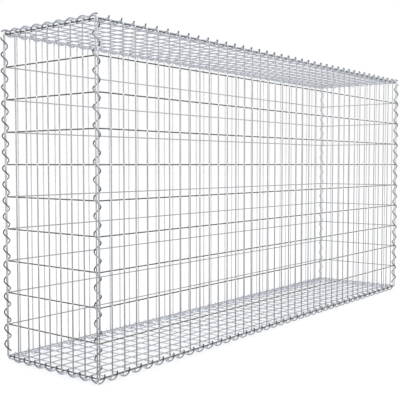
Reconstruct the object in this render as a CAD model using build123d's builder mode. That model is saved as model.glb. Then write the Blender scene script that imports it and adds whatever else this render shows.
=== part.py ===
"""Empty gabion basket: six welded mesh panels, laced together along all twelve edges with spiral wire."""
import os
from math import atan, cos, hypot, pi, sin

from build123d import *

# Driving dimensions in millimetres. X runs along the basket, Y through it and Z up.
basket_length = 2000
basket_width = 400
basket_height = 1000
mesh_cell = 50
side_course = 100
mesh_wire = 4
coil_wire = 4

# Room between a spiral and the wires that it laces: at the upright corners, and under the floor mesh, where a
# thicker wire needs more.
corner_clearance = 0.3
floor_clearance_share = 0.325
floor_clearance = floor_clearance_share * mesh_wire

# How much the lowest flats of the floor spirals are pressed level, so that the basket stands on plane faces.
foot_press = 0.05

# How the spirals are wound. A turn has this many flats. Start and end shares say how far short of the corner
# a spiral is cut, in turns, and a share below zero runs past the corner.
flats_per_turn = 8
turns_per_course = 2
coil_end_share = 5 / 16
floor_start_share = 1 / 16
post_top_share = 3 / 16
lid_near_overrun_share = -1 / 16
lid_far_overrun_share = -3 / 16
left_corner_turn_share = 0.29
right_corner_turn_share = 0.42
right_handed = 1
left_handed = -1

# Where the upright corner spirals and the end spirals are centred, as shares of the mesh wire.
corner_axis_out_share = 0.25
corner_axis_front_share = 0.9
end_axis_in_share = 0.48

# Whole cells along each way of the basket, and the spacing that they come out at.
cells_long = round(basket_length / mesh_cell)
cells_wide = round(basket_width / mesh_cell)
courses = round(basket_height / side_course)
cell_long = basket_length / cells_long
cell_wide = basket_width / cells_wide
course = basket_height / courses

# The planes where the two wire layers of a panel are welded together, outwards from the middle.
half_wire = mesh_wire / 2
long_side_weld = basket_width / 2 + mesh_wire + half_wire
end_weld = basket_length / 2
floor_weld_drop = mesh_wire + half_wire

# A spiral is just wide enough to go round the two edge wires of an upright corner.
corner_axis_x = basket_length / 2 + corner_axis_out_share * mesh_wire
corner_axis_y = basket_width / 2 + corner_axis_front_share * mesh_wire
corner_reach_x = corner_axis_x - basket_length / 2 + half_wire
corner_reach_y = long_side_weld + mesh_wire - corner_axis_y
flat_share = cos(pi / flats_per_turn)
coil_inner_flat = hypot(corner_reach_x, corner_reach_y) + corner_clearance
coil_radius = coil_inner_flat / flat_share + coil_wire / 2
coil_outer_flat = (coil_radius + coil_wire / 2) * flat_share

# The floor spirals carry the basket, so their lowest flats are at height zero.
floor_axis_drop = floor_weld_drop + mesh_wire + floor_clearance - coil_inner_flat
low_axis = coil_outer_flat - foot_press
lowest_bar = low_axis + floor_axis_drop
highest_bar = lowest_bar + basket_height
high_axis = highest_bar + floor_axis_drop
middle_height = (lowest_bar + highest_bar) / 2
long_axis_y = basket_width / 2 + half_wire
end_axis_x = basket_length / 2 - end_axis_in_share * mesh_wire

left = Vector(-1, 0, 0)
right = Vector(1, 0, 0)
front = Vector(0, -1, 0)
back = Vector(0, 1, 0)
down = Vector(0, 0, -1)
up = Vector(0, 0, 1)
half_turn = (0, 0, 180)


def wire_layers(weld_plane, columns, column_spacing, rows, row_spacing):
    """Draw the two crossing layers of wires of a panel on the plane where they are welded."""
    width = (columns - 1) * column_spacing + mesh_wire
    height = (rows - 1) * row_spacing + mesh_wire
    with BuildSketch(weld_plane) as outer_wires:
        with GridLocations(column_spacing, 0, columns, 1):
            Rectangle(mesh_wire, height)
    with BuildSketch(weld_plane) as inner_wires:
        with GridLocations(0, row_spacing, 1, rows):
            Rectangle(width, mesh_wire)
    return outer_wires.sketch, inner_wires.sketch


def coil_sections(corner, along, reference, pitch, turns, hand, start_share, end_share, turn_share=0):
    """Draw the square wire sections of a spiral that runs from near one corner of the basket to the next.

    The wire lies on the reference side of its axis a given share of a turn past the corner.
    """
    across = along.cross(reference)
    rise = atan(pitch / (2 * pi * coil_radius))
    sections = []
    for number in range(round((turns - start_share - end_share) * flats_per_turn) + 1):
        gone = start_share + number / flats_per_turn
        angle = 2 * pi * hand * (gone - turn_share)
        outward = reference * cos(angle) + across * sin(angle)
        centre = corner + along * (gone * pitch) + outward * coil_radius
        with BuildSketch(Plane(centre, x_dir=along, z_dir=along.cross(outward))) as section:
            Rectangle(coil_wire / cos(rise), coil_wire)
        sections.append(section.sketch)
    return sections


os.makedirs("parts", exist_ok=True)

# Mesh panels: uprights outside and crossbars inside on the four sides, cross wires outside on floor and lid.
with BuildPart() as front_panel:
    front_weld = Plane((0, -long_side_weld, middle_height), x_dir=right, z_dir=front)
    uprights, crossbars = wire_layers(front_weld, cells_long + 1, cell_long, courses + 1, course)
    extrude(uprights, amount=mesh_wire)
    extrude(crossbars, amount=-mesh_wire)

with BuildPart() as back_panel:
    add(front_panel.part, rotation=half_turn)

with BuildPart() as left_end_panel:
    left_weld = Plane((-end_weld, 0, middle_height), x_dir=front, z_dir=left)
    uprights, crossbars = wire_layers(left_weld, cells_wide + 1, cell_wide, courses + 1, course)
    extrude(uprights, amount=mesh_wire)
    extrude(crossbars, amount=-mesh_wire)

with BuildPart() as right_end_panel:
    add(left_end_panel.part, rotation=half_turn)

with BuildPart() as floor_panel:
    floor_weld = Plane((0, 0, lowest_bar - floor_weld_drop), x_dir=right, z_dir=down)
    cross_wires, long_wires = wire_layers(floor_weld, cells_long + 1, cell_long, cells_wide + 1, cell_wide)
    extrude(cross_wires, amount=mesh_wire)
    extrude(long_wires, amount=-mesh_wire)

with BuildPart() as lid_panel:
    lid_weld = Plane((0, 0, highest_bar + floor_weld_drop), x_dir=right, z_dir=up)
    cross_wires, long_wires = wire_layers(lid_weld, cells_long + 1, cell_long, cells_wide + 1, cell_wide)
    extrude(cross_wires, amount=mesh_wire)
    extrude(long_wires, amount=-mesh_wire)

# Lacing spirals of the floor, one turn to each cell, lowest where they pass a wire.
with BuildPart() as front_floor_coil:
    corner = Vector(-basket_length / 2, -long_axis_y, low_axis)
    winding = (cell_long, cells_long, left_handed, floor_start_share, coil_end_share)
    loft(coil_sections(corner, right, down, *winding), ruled=True)
    split(bisect_by=Plane.XY, keep=Keep.TOP)

with BuildPart() as back_floor_coil:
    add(front_floor_coil.part, rotation=half_turn)

with BuildPart() as left_floor_coil:
    corner = Vector(-end_axis_x, -basket_width / 2, low_axis)
    winding = (cell_wide, cells_wide, right_handed, floor_start_share, coil_end_share)
    loft(coil_sections(corner, back, down, *winding), ruled=True)
    split(bisect_by=Plane.XY, keep=Keep.TOP)

with BuildPart() as right_floor_coil:
    add(left_floor_coil.part, rotation=half_turn)

# Lacing spirals of the lid, highest where they pass a wire.
with BuildPart() as front_lid_coil:
    corner = Vector(-basket_length / 2, -long_axis_y, high_axis)
    winding = (cell_long, cells_long, left_handed, coil_end_share, coil_end_share)
    loft(coil_sections(corner, right, up, *winding), ruled=True)

with BuildPart() as back_lid_coil:
    add(front_lid_coil.part, rotation=half_turn)

with BuildPart() as left_lid_coil:
    corner = Vector(-end_axis_x, -basket_width / 2, high_axis)
    winding = (cell_wide, cells_wide, left_handed, lid_near_overrun_share, lid_far_overrun_share)
    loft(coil_sections(corner, back, up, *winding), ruled=True)

with BuildPart() as right_lid_coil:
    add(left_lid_coil.part, rotation=half_turn)

# Lacing spirals of the four upright corners, turned so that they pass between the crossbars.
corner_pitch = course / turns_per_course
corner_turns = courses * turns_per_course
corner_winding = (corner_pitch, corner_turns, left_handed, coil_end_share, post_top_share)
with BuildPart() as front_left_corner_coil:
    corner = Vector(-corner_axis_x, -corner_axis_y, lowest_bar)
    loft(coil_sections(corner, up, back, *corner_winding, left_corner_turn_share), ruled=True)

with BuildPart() as back_right_corner_coil:
    add(front_left_corner_coil.part, rotation=half_turn)

with BuildPart() as front_right_corner_coil:
    corner = Vector(corner_axis_x, -corner_axis_y, lowest_bar)
    loft(coil_sections(corner, up, back, *corner_winding, right_corner_turn_share), ruled=True)

with BuildPart() as back_left_corner_coil:
    add(front_right_corner_coil.part, rotation=half_turn)

# One labelled file for each piece.
pieces = {
    "front_panel": front_panel,
    "back_panel": back_panel,
    "left_end_panel": left_end_panel,
    "right_end_panel": right_end_panel,
    "floor_panel": floor_panel,
    "lid_panel": lid_panel,
    "front_floor_coil": front_floor_coil,
    "back_floor_coil": back_floor_coil,
    "left_floor_coil": left_floor_coil,
    "right_floor_coil": right_floor_coil,
    "front_lid_coil": front_lid_coil,
    "back_lid_coil": back_lid_coil,
    "left_lid_coil": left_lid_coil,
    "right_lid_coil": right_lid_coil,
    "front_left_corner_coil": front_left_corner_coil,
    "back_right_corner_coil": back_right_corner_coil,
    "front_right_corner_coil": front_right_corner_coil,
    "back_left_corner_coil": back_left_corner_coil,
}
for name, piece in pieces.items():
    piece.part.label = name
    export_step(piece.part, f"parts/{name}.step")
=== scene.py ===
"""Looks of an empty gabion basket: round zinc-coated mesh wire, weld marks and spiral lacing."""
from math import atan, pi, radians

import bpy
from mathutils import Matrix, Vector


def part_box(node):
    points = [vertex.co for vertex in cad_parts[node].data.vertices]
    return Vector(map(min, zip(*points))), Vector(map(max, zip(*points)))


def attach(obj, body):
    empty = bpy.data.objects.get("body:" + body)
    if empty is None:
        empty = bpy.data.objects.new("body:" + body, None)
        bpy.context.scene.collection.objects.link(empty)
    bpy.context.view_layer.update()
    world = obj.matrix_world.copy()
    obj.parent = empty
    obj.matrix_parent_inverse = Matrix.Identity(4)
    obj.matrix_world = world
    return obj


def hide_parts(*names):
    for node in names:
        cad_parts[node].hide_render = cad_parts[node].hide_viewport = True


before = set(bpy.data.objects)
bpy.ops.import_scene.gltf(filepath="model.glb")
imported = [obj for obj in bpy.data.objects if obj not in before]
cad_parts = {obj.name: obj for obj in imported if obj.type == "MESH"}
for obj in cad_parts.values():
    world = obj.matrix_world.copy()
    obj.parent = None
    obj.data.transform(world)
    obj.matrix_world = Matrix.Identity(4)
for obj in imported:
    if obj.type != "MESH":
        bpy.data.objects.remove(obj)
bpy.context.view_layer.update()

# Sizes in metres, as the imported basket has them.
mesh_wire = 0.004
mesh_cell = 0.050
side_course = 0.100
cells_long = 40
cells_wide = 8
courses = 10
lowest_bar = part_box("front_panel")[0].z + mesh_wire / 2

# Round wires are pressed into each other a little where they are welded.
layer_offset = 0.0017
weld_spread = 0.0027
weld_depth = 0.0016
weld_segments = 8
weld_rings = 6
end_chamfer = 0.0005
wire_sides = 12
end_face_slope = 0.9
smooth_angle = radians(50)

# Lacing spirals.
coil_wire = 0.004
coil_radius = 0.0096
coil_sides = 10
steps_per_turn = 20
turns_per_course = 2
right_handed = 1
left_handed = -1

# How far short of each corner a spiral is cut, in turns, and how far the corner spirals are turned.
coil_end_share = 5 / 16
front_floor_start_share = 0.0
left_floor_start_share = 0.05
post_top_share = 3 / 16
lid_near_overrun_share = -1 / 16
lid_far_overrun_share = -3 / 16
left_corner_turn_share = 0.29
right_corner_turn_share = 0.42

right = Vector((1, 0, 0))
left = Vector((-1, 0, 0))
back = Vector((0, 1, 0))
front = Vector((0, -1, 0))
up = Vector((0, 0, 1))
down = Vector((0, 0, -1))
half_turn = Matrix.Rotation(pi, 4, "Z")
other_side = {"front": "back", "back": "front", "left": "right", "right": "left"}

# Zones of the zinc finish in metres, which place its painted shade and light. Each pair is the range over
# which a zone sets in. A reach says how far to the left, then how far to the front, the side with the painted
# zone colour starts.
# Floor and lid have none on the left.
side_reach = ((0.9940, 0.9990), (0.1975, 0.2040))
edge_reach = ((2.0, 3.0), (0.1900, 0.1970))
coil_reach = ((0.9930, 1.0030), (0.1950, 0.2030))
# Painted shade near the ground: full below the first height, gone above the second.
ground_shade_zone = (0.05, 1.0)
foot_zone = (0.002, 0.018)
shelf_zone = (1.000, 1.006)
crest_zone = (1.014, 1.024)
left_end_far_zone = (0.190, 0.198)
front_far_zone = (0.990, 0.998)
back_left_zone = ((0.980, 0.985), (0.185, 0.190))
front_right_zone = ((0.985, 0.990), (0.180, 0.185))
weld_zone = (0.0025, 0.0055)
# Upward facing, as the normal's Z, over which the tops take painted light.
facing_up = (-0.1, 0.7)

# Grain of the finish: how finely it varies along X, Y and Z.
along_x = (9.0, 700.0, 700.0)
along_y = (700.0, 9.0, 700.0)
along_z = (700.0, 700.0, 9.0)
along_level = (9.0, 9.0, 700.0)
even_grain = (300.0, 300.0, 300.0)
spangle_scale = 210.0
cloud_scale = 17.0
rust_scale = 900.0
bloom_range = (0.50, 0.66)
tone_range = (0.34, 0.64)
rust_range = (0.42, 0.62)
# Extra painted shade near the ground on wire that has the painted zone colour.
zone_ground_shade = 0.24
bloom_strength = 0.15
bump_strength = 0.25
bump_distance = 0.0002

white = (1.0, 1.0, 1.0, 1.0)
steel_colour = (0.22, 0.21, 0.20, 1.0)
rust_colour = (0.16, 0.075, 0.035, 1.0)

# Studio.
floor_size = 60.0
floor_colour = (0.4, 0.4, 0.4, 1.0)
floor_glow = 0.67
overhead_range = (0.40, 1.0)
overhead_colour = (0.82, 0.83, 0.86, 1.0)
lamp_place = (-0.4, -0.6, 3.6)
lamp_width = 3.0
lamp_power = 15.0

# Camera at the photograph's viewing angle, in metres, degrees and millimetres.
view_from = (-2.3882, -1.6653, 0.6156)
view_heading = 51.595
view_dip = 2.816
view_lens = 65.124
view_sensor = 36.0


class Signal:
    """One output of a shader node. Sums, differences and products with it add maths nodes."""

    def __init__(self, tree, socket):
        self.tree = tree
        self.socket = socket

    def node(self, kind, settings=None, inputs=None, output=0):
        made = self.tree.nodes.new(kind)
        for key, value in (settings or {}).items():
            setattr(made, key, value)
        for key, value in (inputs or {}).items():
            if isinstance(value, Signal):
                self.tree.links.new(value.socket, made.inputs[key])
            else:
                made.inputs[key].default_value = value
        return Signal(self.tree, made.outputs[output])

    def maths(self, operation, first, second):
        return self.node("ShaderNodeMath", {"operation": operation}, {0: first, 1: second})

    def __add__(self, other):
        return self.maths("ADD", self, other)

    __radd__ = __add__

    def __sub__(self, other):
        return self.maths("SUBTRACT", self, other)

    def __rsub__(self, other):
        return self.maths("SUBTRACT", other, self)

    def __mul__(self, other):
        return self.maths("MULTIPLY", self, other)

    __rmul__ = __mul__

    def stretched(self, scales):
        return self.node("ShaderNodeVectorMath", {"operation": "MULTIPLY"}, {0: self, 1: scales})

    def noise(self, scale, detail=2.0):
        inputs = {"Vector": self, "Scale": scale, "Detail": detail}
        return self.node("ShaderNodeTexNoise", {}, inputs, "Fac")

    def ramp(self, low, high):
        settings = {"interpolation_type": "SMOOTHSTEP"}
        inputs = {"Value": self, "From Min": low, "From Max": high}
        return self.node("ShaderNodeMapRange", settings, inputs)

    def parts(self):
        split = self.node("ShaderNodeSeparateXYZ", {}, {0: self}).socket.node
        return [Signal(self.tree, socket) for socket in split.outputs]

    def blend(self, first, second):
        settings = {"data_type": "RGBA"}
        return self.node("ShaderNodeMix", settings, {0: self, 6: first, 7: second}, 2)


def grey(value, blue=0.0):
    """A grey, a little cooler as blue rises."""
    return (value * (1 - blue), value * (1 - 0.2 * blue), value * (1 + 1.3 * blue), 1.0)


def new_material(name):
    material = bpy.data.materials.new(name)
    material.use_nodes = True
    tree = material.node_tree
    shader = tree.nodes["Principled BSDF"]
    coordinates = Signal(tree, tree.nodes.new("ShaderNodeTexCoord").outputs["Object"])
    return material, tree, shader, coordinates


def zinc(name, plain_colour, painted_zone_colour, grain, roughness, reach, ground_shade=0.0, near_corner_shade=1.0, near_corner_ground_shade=0.0,
         far_end_shade=1.0, top_light=0.0, spiral_end_light=0.0, inner_shade=0.0, weld_highlight=0.0):
    """Zinc-coated wire: cloudy spangle, streaks along the wire, chalky bloom, and painted shade darkening it
    near the ground.

    The front and the left end get a painted zone colour: painted shade standing in for their shade, by other
    amounts along their near corner, at their far ends and at the spiral ends by floor and lid. With top light,
    upward-facing
    wire gets less of it: painted light on the tops. On the front edge long wire of floor and lid the zone
    colour is
    lighter: painted light. Inner shade paints the inside of the two corner spirals beside them as well. A
    painted highlight brightens an upright where a crossbar is welded to it. A negative ground shade paints the
    floor wires lighter.
    """
    material, tree, shader, place = new_material(name)
    across, through, above_ground = place.parts()
    leftward = across * -1.0
    forward = through * -1.0

    # Painted shade near the ground: this mask is 1 at the ground and fades out upward.
    ground_shade_mask = 1.0 - above_ground.ramp(*ground_shade_zone)
    foot = 1.0 - above_ground.ramp(*foot_zone)
    crest = above_ground.ramp(*crest_zone)
    shelf = above_ground.ramp(*shelf_zone) - crest
    # Where the painted zone colour goes: front and left end, less at their far ends and near corner, less at
    # the spiral ends by floor and lid, and on the inside of the corner spirals beside them.
    left_far = (1.0 - far_end_shade) * through.ramp(*left_end_far_zone)
    front_far = (1.0 - far_end_shade) * across.ramp(*front_far_zone)
    on_left = leftward.ramp(*reach[0]) * (1.0 - spiral_end_light * (foot + crest)) * (1.0 - left_far)
    on_front = forward.ramp(*reach[1]) * (1.0 - spiral_end_light * (foot + shelf)) * (1.0 - front_far)
    outside = on_left + on_front - on_left * on_front * (2.0 - near_corner_shade - near_corner_ground_shade * ground_shade_mask)
    back_left = leftward.ramp(*back_left_zone[0]) * through.ramp(*back_left_zone[1])
    front_right = forward.ramp(*front_right_zone[1]) * across.ramp(*front_right_zone[0])
    outside = outside + inner_shade * (back_left + front_right) * (1.0 - outside)
    facing = place.node("ShaderNodeNewGeometry", {}, {}, "Normal").parts()
    # Upward-facing wire gets less of the painted zone colour: painted light on the tops.
    painted_zone = outside * (1.0 - top_light * facing[2].ramp(*facing_up))

    spangle = place.noise(spangle_scale, 3.0)
    cloud = place.noise(cloud_scale, 2.0)
    streak = place.stretched(grain).noise(1.0, 2.0)
    bloom = (cloud * 0.6 + spangle * 0.4).ramp(*bloom_range)
    tone = (spangle * 0.45 + streak * 0.55).ramp(*tone_range)
    # Grain tone, darkened near the ground by painted shade; a negative ground shade paints the floor wires
    # lighter instead.
    light = (0.80 + 0.40 * tone) * (1.0 - ground_shade_mask * (ground_shade + zone_ground_shade * painted_zone))
    # Painted highlight on an upright at the height of each crossbar welded to it.
    from_weld = place.maths("PINGPONG", above_ground - lowest_bar, side_course / 2)
    painted_highlight = weld_highlight * (1.0 - from_weld.ramp(*weld_zone))
    coat = painted_highlight.blend(painted_zone.blend(plain_colour, painted_zone_colour), grey(0.95))
    shaded = coat.node("ShaderNodeVectorMath", {"operation": "SCALE"}, {0: coat, "Scale": light})
    chalky = coat.node("ShaderNodeMix", {"data_type": "RGBA", "blend_type": "SCREEN"},
                       {0: bloom * bloom_strength, 6: shaded, 7: grey(0.45)}, 2)
    height = streak * 0.7 + spangle * 0.3
    inputs = {"Strength": bump_strength, "Distance": bump_distance, "Height": height}
    bump = height.node("ShaderNodeBump", {}, inputs)

    tree.links.new(chalky.socket, shader.inputs["Base Color"])
    tree.links.new((roughness + 0.16 * spangle + 0.20 * bloom).socket, shader.inputs["Roughness"])
    shader.inputs["Metallic"].default_value = 1.0
    tree.links.new(bump.socket, shader.inputs["Normal"])
    return material


def bare_steel(name):
    """Cut wire ends, where no zinc covers the steel and a little rust has started."""
    material, tree, shader, place = new_material(name)
    rust = place.noise(rust_scale, 2.0).ramp(*rust_range)
    tree.links.new(rust.blend(steel_colour, rust_colour).socket, shader.inputs["Base Color"])
    tree.links.new((0.45 + 0.3 * rust).socket, shader.inputs["Roughness"])
    tree.links.new((0.9 - 0.6 * rust).socket, shader.inputs["Metallic"])
    return material


# Each second colour is a painted zone colour: painted shade on the front and left end, and painted light on
# the front edge long wire. Crossbars get a darker zinc than the uprights, and long wires a darker zinc than
# cross wires: painted shade on one and the same zinc.
upright_zinc = zinc("upright_zinc", grey(0.75, 0.025), grey(0.53, 0.02), along_z, 0.30, side_reach,
                    ground_shade=0.14, near_corner_shade=0.0, near_corner_ground_shade=1.0, far_end_shade=0.3, weld_highlight=0.8)
crossbar_zinc = zinc("crossbar_zinc", grey(0.50, 0.01), grey(0.06), along_level, 0.34, side_reach,
                     ground_shade=0.10, top_light=0.8)
cross_wire_zinc = zinc("cross_wire_zinc", grey(0.61, 0.055), grey(0.61, 0.055), along_y, 0.30, edge_reach,
                       ground_shade=-0.12)
long_wire_zinc = zinc("long_wire_zinc", grey(0.49, 0.055), grey(0.72, 0.05), along_x, 0.32, edge_reach,
                      ground_shade=-0.12)
weld_zinc = zinc("weld_zinc", grey(0.80, 0.03), grey(0.80, 0.02), even_grain, 0.38, side_reach,
                 ground_shade=0.10, near_corner_shade=0.0, near_corner_ground_shade=1.0, far_end_shade=0.3)
coil_zinc = zinc("coil_zinc", grey(0.70, 0.10), grey(0.13, 0.10), even_grain, 0.30, coil_reach,
                 near_corner_shade=0.55, near_corner_ground_shade=-0.2, spiral_end_light=0.6, inner_shade=0.6)
cut_end = bare_steel("cut_end")


def take(piece):
    """Leave only this piece selected and active."""
    bpy.ops.object.select_all(action="DESELECT")
    piece.select_set(True)
    bpy.context.view_layer.objects.active = piece


def settle(piece):
    """Put the piece's place, turn and size into its mesh."""
    take(piece)
    bpy.ops.object.transform_apply(location=True, rotation=True, scale=True)


def repeat(piece, count, step):
    """Lay a row of copies beside the piece."""
    take(piece)
    row = piece.modifiers.new("row", "ARRAY")
    row.count = count
    row.use_relative_offset = False
    row.use_constant_offset = True
    row.constant_offset_displace = step
    bpy.ops.object.modifier_apply(modifier=row.name)


def choose_ends(wire):
    """Select the end faces of a wire that runs along Z, and stay in edit mode."""
    take(wire)
    bpy.ops.object.mode_set(mode="EDIT")
    bpy.ops.mesh.select_mode(type="FACE")
    bpy.ops.mesh.select_all(action="DESELECT")
    bpy.ops.object.mode_set(mode="OBJECT")
    for face in wire.data.polygons:
        face.select = abs(face.normal.z) > end_face_slope
    bpy.ops.object.mode_set(mode="EDIT")


def straight_wire(name, length, middle, turn, finish):
    """One drawn wire with chamfered, bare cut ends."""
    bpy.ops.object.select_all(action="DESELECT")
    bpy.ops.mesh.primitive_cylinder_add(vertices=wire_sides, radius=mesh_wire / 2, depth=length)
    wire = bpy.context.object
    wire.name = name
    wire.data.materials.append(finish)
    wire.data.materials.append(cut_end)
    choose_ends(wire)
    bpy.ops.mesh.bevel(offset=end_chamfer, segments=1, affect="EDGES")
    bpy.ops.object.mode_set(mode="OBJECT")
    choose_ends(wire)
    wire.active_material_index = 1
    bpy.ops.object.material_slot_assign()
    bpy.ops.object.mode_set(mode="OBJECT")
    wire.rotation_euler = turn
    wire.location = middle
    settle(wire)
    return wire


def weld_mark(name, middle):
    """Metal pressed out where two wires are welded: a low lump, flattened between the wires."""
    bpy.ops.object.select_all(action="DESELECT")
    bpy.ops.mesh.primitive_uv_sphere_add(segments=weld_segments, ring_count=weld_rings, radius=weld_spread)
    mark = bpy.context.object
    mark.name = name
    mark.data.materials.append(weld_zinc)
    bpy.ops.object.mode_set(mode="EDIT")
    bpy.ops.mesh.select_all(action="SELECT")
    bpy.ops.transform.resize(value=(1.0, 1.0, weld_depth / weld_spread))
    bpy.ops.object.mode_set(mode="OBJECT")
    mark.location = middle
    settle(mark)
    return mark


def mesh_panel(name, columns, column_step, rows, row_step, outer_finish, inner_finish):
    """A welded panel lying flat about the origin, with its outer wires on top and running along Y."""
    width = (columns - 1) * column_step
    height = (rows - 1) * row_step
    first_outer = (-width / 2, 0, layer_offset)
    first_inner = (0, -height / 2, -layer_offset)
    outer = straight_wire(name, height + mesh_wire, first_outer, (pi / 2, 0, 0), outer_finish)
    repeat(outer, columns, (column_step, 0, 0))
    inner = straight_wire(name + "_inner", width + mesh_wire, first_inner, (0, pi / 2, 0), inner_finish)
    repeat(inner, rows, (0, row_step, 0))
    mark = weld_mark(name + "_marks", (-width / 2, -height / 2, 0))
    repeat(mark, columns, (column_step, 0, 0))
    repeat(mark, rows, (0, row_step, 0))
    take(outer)
    inner.select_set(True)
    mark.select_set(True)
    bpy.ops.object.join()
    bpy.ops.object.shade_smooth_by_angle(angle=smooth_angle)
    return outer


def stand(piece, across, upward, middle):
    """Turn a piece made flat so that its X runs along across and its Y along upward, about a middle."""
    axes = Matrix((across, upward, across.cross(upward))).transposed().to_4x4()
    piece.matrix_world = Matrix.Translation(middle) @ axes
    settle(piece)


def copy_of(piece, name):
    """A copy with its own mesh."""
    take(piece)
    bpy.ops.object.duplicate(linked=False)
    copy = bpy.context.object
    copy.name = name
    copy.data.name = name
    return copy


def middle_of(node):
    low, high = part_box(node)
    return (low + high) / 2


def finish_piece(piece, node, slot):
    piece.name = node + "_wires" if slot == "mesh_wire" else node + "_wire"
    piece.data.name = piece.name
    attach(piece, "root")
    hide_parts(node)


def place_pair(panel, node, axes, opposite_node, opposite_axes):
    """Stand a panel and its copy on two sides of the basket."""
    opposite = copy_of(panel, "opposite")
    stand(panel, *axes, middle_of(node))
    stand(opposite, *opposite_axes, middle_of(opposite_node))
    finish_piece(panel, node, "mesh_wire")
    finish_piece(opposite, opposite_node, "mesh_wire")


# Side panels: uprights outside, crossbars inside. Floor and lid: cross wires outside.
long_side = mesh_panel("long_side", cells_long + 1, mesh_cell, courses + 1, side_course,
                       upright_zinc, crossbar_zinc)
place_pair(long_side, "front_panel", (right, up), "back_panel", (left, up))
end_side = mesh_panel("end_side", cells_wide + 1, mesh_cell, courses + 1, side_course,
                      upright_zinc, crossbar_zinc)
place_pair(end_side, "left_end_panel", (front, up), "right_end_panel", (back, up))
floor_mesh = mesh_panel("floor_mesh", cells_long + 1, mesh_cell, cells_wide + 1, mesh_cell,
                        cross_wire_zinc, long_wire_zinc)
place_pair(floor_mesh, "floor_panel", (right, front), "lid_panel", (right, back))


def spiral(name, pitch, turns, hand):
    """A lacing spiral about Z from height zero, with its wire starting on the X side."""
    lead = atan(pitch / (2 * pi * coil_radius))
    bpy.ops.object.select_all(action="DESELECT")
    bpy.ops.mesh.primitive_circle_add(vertices=coil_sides, radius=coil_wire / 2, fill_type="NOTHING")
    coil = bpy.context.object
    coil.name = name
    coil.data.materials.append(coil_zinc)
    coil.data.materials.append(cut_end)
    coil.rotation_euler = (pi / 2 + hand * lead, 0, 0)
    coil.location = (coil_radius, 0, 0)
    settle(coil)
    wound = coil.modifiers.new("wound", "SCREW")
    wound.axis = "Z"
    wound.angle = 2 * pi * turns * hand
    wound.screw_offset = pitch * turns
    wound.steps = round(steps_per_turn * turns) + 1
    wound.render_steps = wound.steps
    wound.use_smooth_shade = True
    bpy.ops.object.modifier_apply(modifier=wound.name)
    bpy.ops.object.mode_set(mode="EDIT")
    bpy.ops.mesh.select_mode(type="VERT")
    bpy.ops.mesh.select_all(action="DESELECT")
    bpy.ops.mesh.select_non_manifold()
    bpy.ops.mesh.fill_holes(sides=coil_sides)
    bpy.ops.mesh.select_all(action="SELECT")
    bpy.ops.mesh.normals_make_consistent(inside=False)
    bpy.ops.object.mode_set(mode="OBJECT")
    for face in coil.data.polygons:
        if len(face.vertices) == coil_sides:
            face.material_index = 1
            face.use_smooth = False
    return coil


def lace(node, corner, along, reference, pitch, turns, hand, start_share, end_share, turn_share=0.0):
    """Wind a spiral from near one corner of the basket to the next, and a second one on the opposite edge."""
    coil = spiral(node, pitch, turns - start_share - end_share, hand)
    coil.matrix_world = Matrix.Translation((0, 0, start_share * pitch))
    coil.matrix_world @= Matrix.Rotation(2 * pi * hand * (start_share - turn_share), 4, "Z")
    settle(coil)
    axes = Matrix((reference, along.cross(reference), along)).transposed().to_4x4()
    coil.matrix_world = Matrix.Translation(corner) @ axes
    settle(coil)
    opposite_node = "_".join(other_side.get(word, word) for word in node.split("_"))
    opposite = copy_of(coil, opposite_node)
    opposite.matrix_world = half_turn
    settle(opposite)
    finish_piece(coil, node, "coil_wire")
    finish_piece(opposite, opposite_node, "coil_wire")


half_long = cells_long * mesh_cell / 2
half_wide = cells_wide * mesh_cell / 2
floor_height = coil_radius + coil_wire / 2
corner_pitch = side_course / turns_per_course
corner_turns = turns_per_course * courses
front_low = middle_of("front_floor_coil")
left_low = middle_of("left_floor_coil")
front_high = middle_of("front_lid_coil")
left_high = middle_of("left_lid_coil")
near_post = middle_of("front_left_corner_coil")
far_post = middle_of("front_right_corner_coil")

# Floor spirals are lowest where they pass a wire, and lid spirals highest.
lace("front_floor_coil", (-half_long, front_low.y, floor_height), right, down,
     mesh_cell, cells_long, left_handed, front_floor_start_share, coil_end_share)
lace("left_floor_coil", (left_low.x, -half_wide, floor_height), back, down,
     mesh_cell, cells_wide, right_handed, left_floor_start_share, coil_end_share)
lace("front_lid_coil", (-half_long, front_high.y, front_high.z), right, up,
     mesh_cell, cells_long, left_handed, coil_end_share, coil_end_share)
lace("left_lid_coil", (left_high.x, -half_wide, left_high.z), back, up,
     mesh_cell, cells_wide, left_handed, lid_near_overrun_share, lid_far_overrun_share)

# Corner spirals are turned so that they pass between the crossbars.
lace("front_left_corner_coil", (near_post.x, near_post.y, lowest_bar), up, back,
     corner_pitch, corner_turns, left_handed, coil_end_share, post_top_share, left_corner_turn_share)
lace("front_right_corner_coil", (far_post.x, far_post.y, lowest_bar), up, back,
     corner_pitch, corner_turns, left_handed, coil_end_share, post_top_share, right_corner_turn_share)


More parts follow.
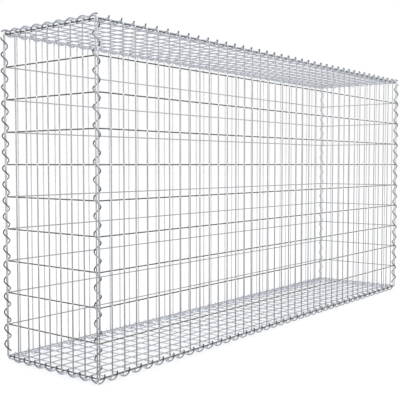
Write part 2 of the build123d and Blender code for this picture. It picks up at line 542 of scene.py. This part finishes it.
def studio_floor():
    """Pale floor that looks white to the camera and in reflections, and lights the basket less."""
    bpy.ops.object.select_all(action="DESELECT")
    bpy.ops.mesh.primitive_plane_add(size=floor_size)
    ground = bpy.context.object
    ground.name = "studio_floor"
    material = bpy.data.materials.new("studio_floor")
    material.use_nodes = True
    tree = material.node_tree
    tree.nodes.clear()
    paths = tree.nodes.new("ShaderNodeLightPath")
    camera_ray = Signal(tree, paths.outputs["Is Camera Ray"])
    glossy_ray = Signal(tree, paths.outputs["Is Glossy Ray"])
    clear_ray = Signal(tree, paths.outputs["Is Transmission Ray"])
    matt = camera_ray.node("ShaderNodeBsdfDiffuse", {}, {"Color": floor_colour})
    glow = camera_ray.node("ShaderNodeEmission", {}, {"Color": white, "Strength": floor_glow})
    lit = camera_ray.node("ShaderNodeAddShader", {}, {0: matt, 1: glow})
    seen = camera_ray + glossy_ray + clear_ray
    shown = camera_ray.node("ShaderNodeMixShader", {}, {0: seen, 1: matt, 2: lit})
    output = tree.nodes.new("ShaderNodeOutputMaterial")
    tree.links.new(shown.socket, output.inputs["Surface"])
    ground.data.materials.append(material)


def studio_sky():
    """White all round at eye level, greyer overhead."""
    world = bpy.data.worlds.new("studio")
    world.use_nodes = True
    bpy.context.scene.world = world
    tree = world.node_tree
    tree.nodes.clear()
    direction = Signal(tree, tree.nodes.new("ShaderNodeTexCoord").outputs["Generated"])
    overhead = direction.parts()[2].ramp(*overhead_range)
    sky = overhead.blend(white, overhead_colour)
    glow = sky.node("ShaderNodeBackground", {}, {"Color": sky, "Strength": 1.0})
    output = tree.nodes.new("ShaderNodeOutputWorld")
    tree.links.new(glow.socket, output.inputs["Surface"])


def soft_lamp(name, place, width, power):
    """A square lamp that looks at the middle of the footprint."""
    lamp = bpy.data.lights.new(name, "AREA")
    lamp.shape = "SQUARE"
    lamp.size = width
    lamp.energy = power
    holder = bpy.data.objects.new(name, lamp)
    holder.location = place
    holder.rotation_euler = (-Vector(place)).to_track_quat("-Z", "Y").to_euler()
    bpy.context.collection.objects.link(holder)


studio_floor()
studio_sky()
soft_lamp("overhead_lamp", lamp_place, lamp_width, lamp_power)

camera_data = bpy.data.cameras.new("camera")
camera_data.sensor_width = view_sensor
camera_data.lens = view_lens
camera = bpy.data.objects.new("camera", camera_data)
camera.location = view_from
camera.rotation_euler = (radians(90.0 - view_dip), 0.0, -radians(view_heading))
bpy.context.collection.objects.link(camera)
bpy.context.scene.camera = camera
bpy.context.scene.view_settings.view_transform = "Standard"
